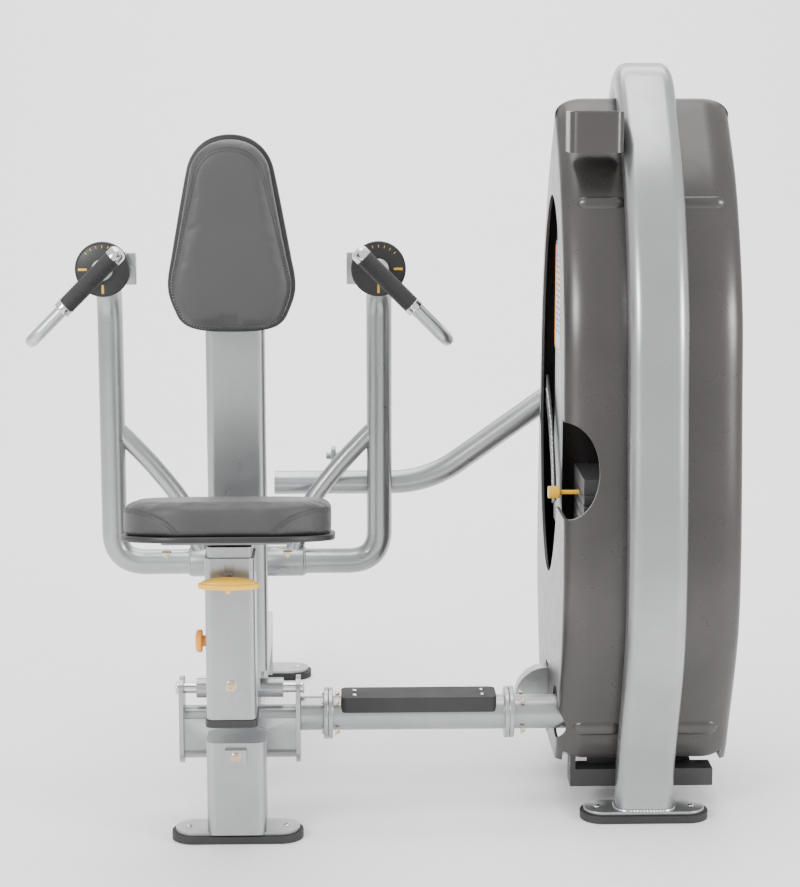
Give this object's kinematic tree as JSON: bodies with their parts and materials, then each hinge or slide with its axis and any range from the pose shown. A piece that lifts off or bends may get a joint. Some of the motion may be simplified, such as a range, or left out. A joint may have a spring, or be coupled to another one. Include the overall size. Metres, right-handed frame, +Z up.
{
  "type": "chest press machine",
  "caption": "Seated press machine with a rocking seat and back pad, swinging arms with turning handles, and a shrouded weight stack tower beside it.",
  "frame": {"origin": "floor level, under the middle of the machine's box", "axes": "+Z up, the user faces -Y, the weight tower is on the +X side"},
  "size_m": [1.5696, 1.6882, 1.65],
  "materials": {
    "silver_paint": "satin metallic silver powder coat",
    "charcoal_plastic": "satin metallic charcoal moulded shell",
    "black_rubber": "matte textured rubber",
    "black_plastic": "matte moulded black",
    "grey_vinyl": "fine grained upholstery vinyl with stitched seams",
    "polished_steel": "polished steel",
    "black_iron": "black painted iron",
    "yellow_plastic": "warm yellow moulded plastic",
    "orange_plastic": "orange moulded plastic",
    "light_panel": "light grey satin panel"
  },
  "bodies": {
    "frame": {"front_post": "silver_paint", "base_rail": "silver_paint", "rear_upright": "silver_paint", "pivot_block": "silver_paint", "arch": "silver_paint", "station_stub": "silver_paint", "cross_tube": "silver_paint", "tower_stub": "silver_paint", "upper_tube": "silver_paint", "pulley_guard": "silver_paint", "front_shroud": "charcoal_plastic", "rear_shroud": "charcoal_plastic", "top_tray": "charcoal_plastic", "front_foot_pad": "black_rubber", "rear_foot_pad": "black_rubber", "tower_front_foot_pad": "black_rubber", "tower_rear_foot_pad": "black_rubber", "step_pad": "black_rubber", "stack_bumper": "black_rubber", "weight_scale": "black_plastic", "drive_cable": "black_plastic", "rocker_axle": "polished_steel", "guide_rod_front": "polished_steel", "guide_rod_rear": "polished_steel", "inner_frame": "black_iron", "weight_plates_1": "black_iron", "weight_plates_2": "black_iron", "weight_plates_3": "black_iron", "window_panel": "light_panel", "instruction_placard": "light_panel"},
    "user_support": {"back_upright": "silver_paint", "rocker_beam": "silver_paint", "seat_sleeve": "silver_paint", "sleeve_end_ring": "black_plastic", "back_pad": "grey_vinyl", "back_board": "black_plastic", "pad_bracket": "silver_paint"},
    "seat": {"seat_post": "silver_paint", "seat_board": "black_plastic", "seat_cushion": "grey_vinyl"},
    "seat_lever": {"seat_lever": "yellow_plastic"},
    "stop_knob": {"stop_knob": "orange_plastic"},
    "press_arms": {"left_press_arm": "silver_paint", "right_press_arm": "silver_paint", "arm_shaft": "polished_steel", "crank_lever": "black_iron"},
    "link": {"link_rod": "polished_steel"},
    "left_handle": {"left_dial": "black_plastic", "left_handle_bar": "polished_steel", "left_grip": "black_rubber"},
    "right_handle": {"right_dial": "black_plastic", "right_handle_bar": "polished_steel", "right_grip": "black_rubber"},
    "lifted_stack": {"head_plate": "black_iron", "selector_stem": "polished_steel", "weight_plates_4": "black_iron", "lift_cable": "black_plastic"},
    "selector_pin": {"selector_pin": "yellow_plastic"},
    "upper_pulley": {"upper_pulley": "black_plastic"},
    "lower_pulley": {"lower_pulley": "black_plastic"}
  },
  "joints": [
    {"name": "arm_swing", "type": "hinge", "parent": "frame", "child": "press_arms", "pos_m": [-0.30218, 0.1651, 0.466], "axis": [1, 0, 0], "range_deg": [0, 40]},
    {"name": "seat_rock", "type": "hinge", "parent": "frame", "child": "user_support", "pos_m": [-0.30218, -0.2869, 0.283], "axis": [1, 0, 0], "range_deg": [-13, 0]},
    {"name": "link_turn", "type": "hinge", "parent": "user_support", "child": "link", "pos_m": [-0.30218, -0.2649, 0.463], "axis": [1, 0, 0], "range_deg": [0, 15]},
    {"name": "seat_height", "type": "slide", "parent": "user_support", "child": "seat", "axis": [0, 0, 1], "range_m": [0, 0.1]},
    {"name": "lever_lift", "type": "hinge", "parent": "user_support", "child": "seat_lever", "pos_m": [-0.30218, -0.6809, 0.624], "axis": [1, 0, 0], "range_deg": [-15, 0], "stiffness_Nm_per_rad": 0.6},
    {"name": "knob_pull", "type": "slide", "parent": "user_support", "child": "stop_knob", "axis": [-1, 0, 0], "range_m": [0, 0.012], "stiffness_N_per_m": 800},
    {"name": "left_handle_turn", "type": "hinge", "parent": "press_arms", "child": "left_handle", "pos_m": [-0.61618, 0.0031, 1.187], "axis": [0, 1, 0], "range_deg": [-45, 45]},
    {"name": "right_handle_turn", "type": "hinge", "parent": "press_arms", "child": "right_handle", "pos_m": [0.01182, 0.0031, 1.187], "axis": [0, 1, 0], "range_deg": [-45, 45]},
    {"name": "stack_lift", "type": "slide", "parent": "frame", "child": "lifted_stack", "axis": [0, 0, 1], "range_m": [0, 0.452], "deforming": ["lift_cable"]},
    {"name": "pin_pull", "type": "slide", "parent": "lifted_stack", "child": "selector_pin", "axis": [-1, 0, 0], "range_m": [0, 0.15]},
    {"name": "upper_pulley_turn", "type": "hinge", "parent": "frame", "child": "upper_pulley", "pos_m": [0.55782, -0.1969, 1.34], "axis": [1, 0, 0], "range_deg": [0, 480]},
    {"name": "lower_pulley_turn", "type": "hinge", "parent": "frame", "child": "lower_pulley", "pos_m": [0.50982, -0.2869, 0.271], "axis": [0, 1, 0], "range_deg": [0, 560]}
  ],
  "couplings": [
    {"joint": "seat_rock", "follows": "arm_swing", "ratio": -0.31},
    {"joint": "link_turn", "follows": "arm_swing", "ratio": 0.3675},
    {"joint": "stack_lift", "follows": "arm_swing", "m_per_rad": 0.645},
    {"joint": "upper_pulley_turn", "follows": "arm_swing", "ratio": 11.518},
    {"joint": "lower_pulley_turn", "follows": "arm_swing", "ratio": 13.438}
  ]
}
